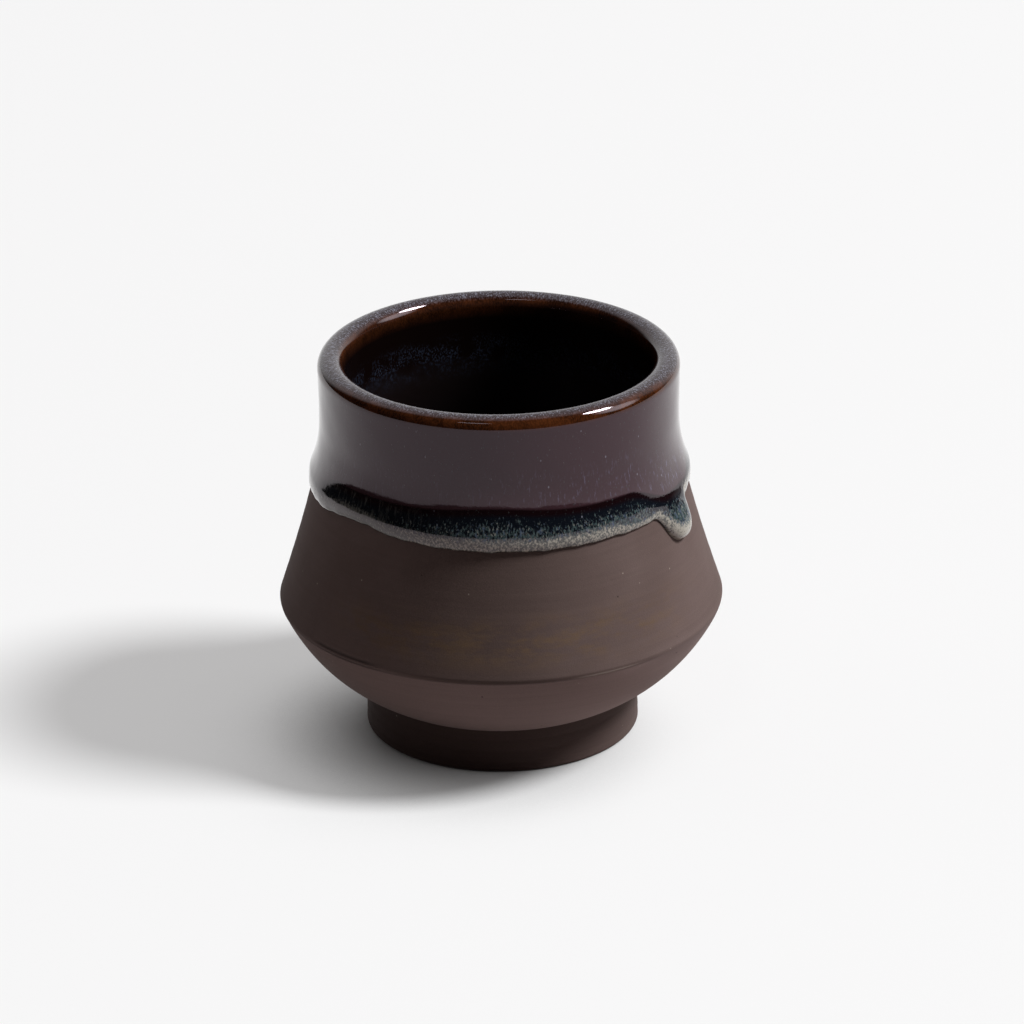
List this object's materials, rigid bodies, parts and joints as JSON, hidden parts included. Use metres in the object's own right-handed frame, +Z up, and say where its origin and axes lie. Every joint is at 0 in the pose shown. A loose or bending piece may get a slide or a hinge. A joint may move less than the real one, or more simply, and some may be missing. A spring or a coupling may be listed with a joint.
{
  "type": "guinomi sake cup",
  "caption": "Thrown stoneware sake cup with a ring foot, an angular belly and an upright collar, glazed dark over the collar down to a fat roll and a run.",
  "frame": {"origin": "centre of the face that the foot ring stands on", "axes": "+Z up along the axis that the cup was thrown on; the front faces -Y and the glaze run hangs on the front right, towards +X"},
  "size_m": [0.07, 0.07, 0.0623],
  "materials": {
    "stoneware": "bare dark brown stoneware, fired matte",
    "dark_glaze": "glossy brown-black iron glaze",
    "amber_glaze": "glossy iron glaze, thin and breaking to amber",
    "pooled_glaze": "glossy iron glaze, thick, with blue and pale streaks"
  },
  "bodies": {
    "root": {"clay_body": "stoneware", "foot_ring": "stoneware", "liner_glaze": "dark_glaze", "lip_glaze": "amber_glaze", "collar_glaze": "dark_glaze", "glaze_roll": "pooled_glaze", "glaze_run": "pooled_glaze"}
  },
  "joints": []
}
